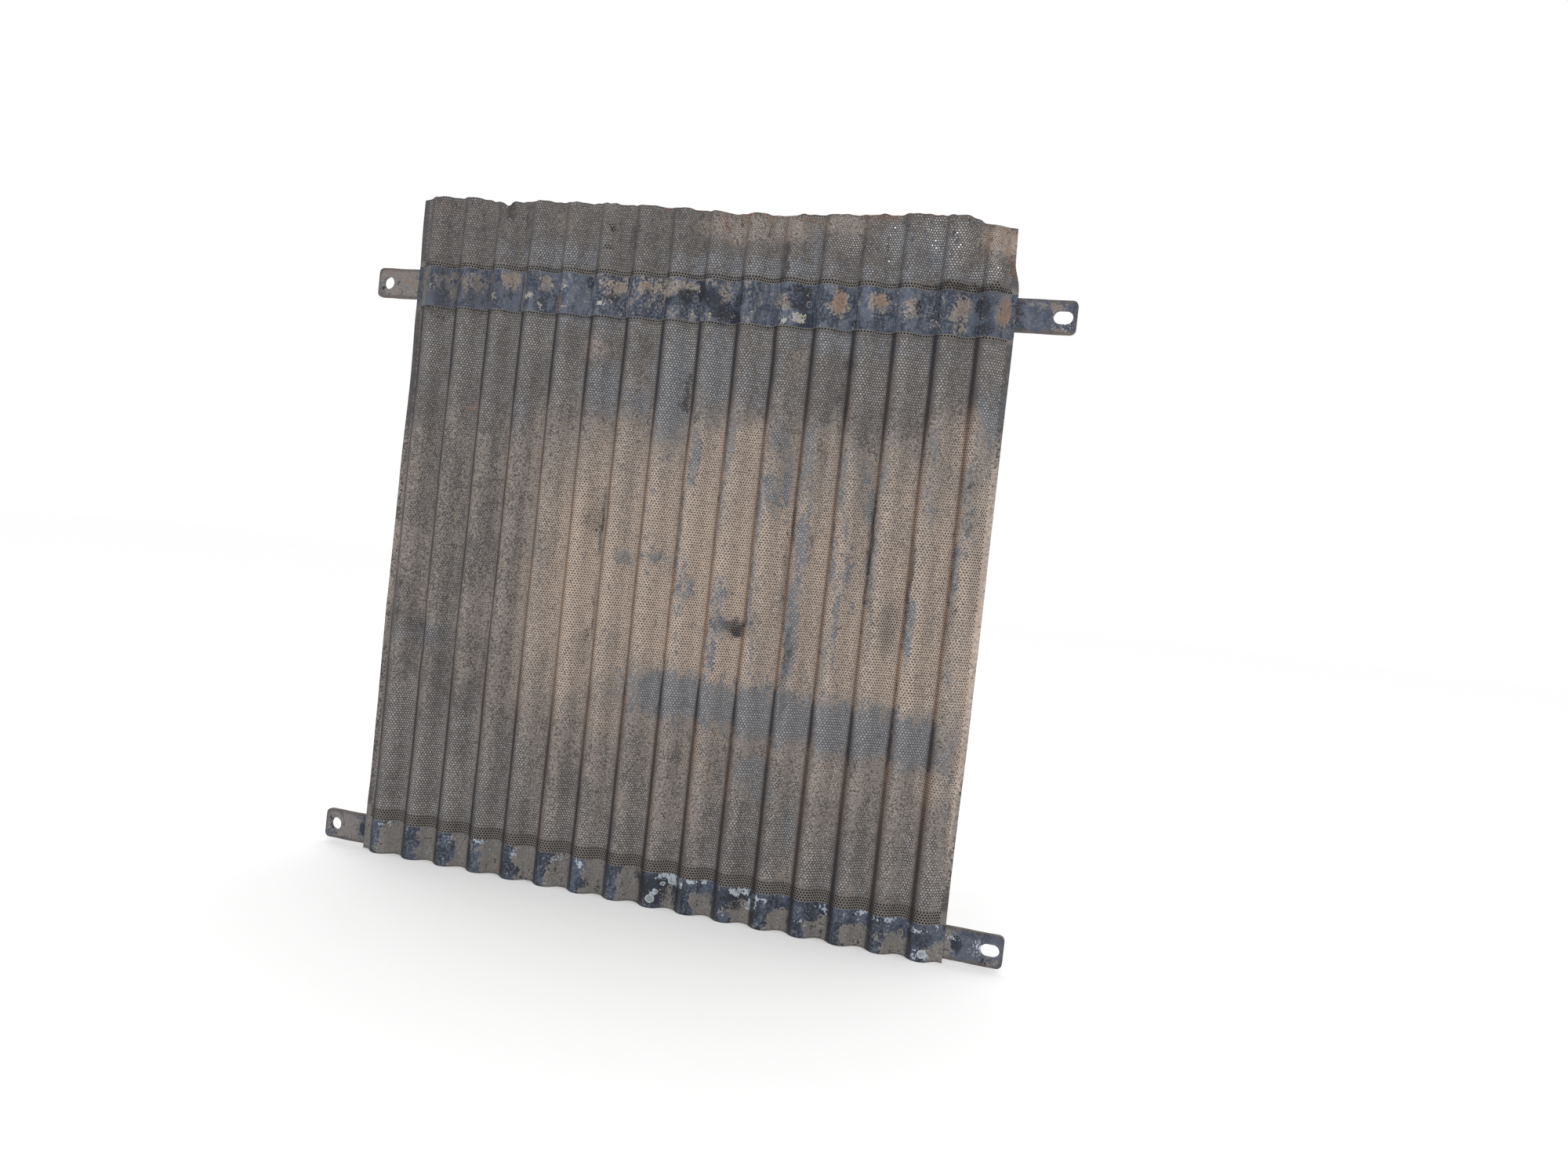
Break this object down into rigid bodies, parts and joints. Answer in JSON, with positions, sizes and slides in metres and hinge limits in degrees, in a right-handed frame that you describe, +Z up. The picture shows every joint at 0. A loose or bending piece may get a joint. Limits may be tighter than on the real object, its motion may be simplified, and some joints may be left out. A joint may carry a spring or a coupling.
{
  "type": "corrugated perforated screen panel",
  "caption": "Corrugated perforated sheet-metal screen, spot-welded to flat cross straps whose end tabs carry a round bolt hole on one side and a slot on the other.",
  "frame": {"origin": "middle of the four fixing holes, on the back face of the straps", "axes": "+X to the right seen from the front, +Y to the rear, +Z up along the ridges"},
  "size_m": [0.828, 0.0183, 0.787],
  "materials": {
    "sheet_paint": "worn slate paint under brown dust and dried mud, matt",
    "strap_paint": "worn slate-blue paint with dirt and rust, matt",
    "weld_steel": "heat-darkened, matt"
  },
  "bodies": {
    "root": {"corrugated_sheet": "sheet_paint", "upper_strap": "strap_paint", "lower_strap": "strap_paint", "upper_spot_welds": "weld_steel", "lower_spot_welds": "weld_steel"}
  },
  "joints": []
}
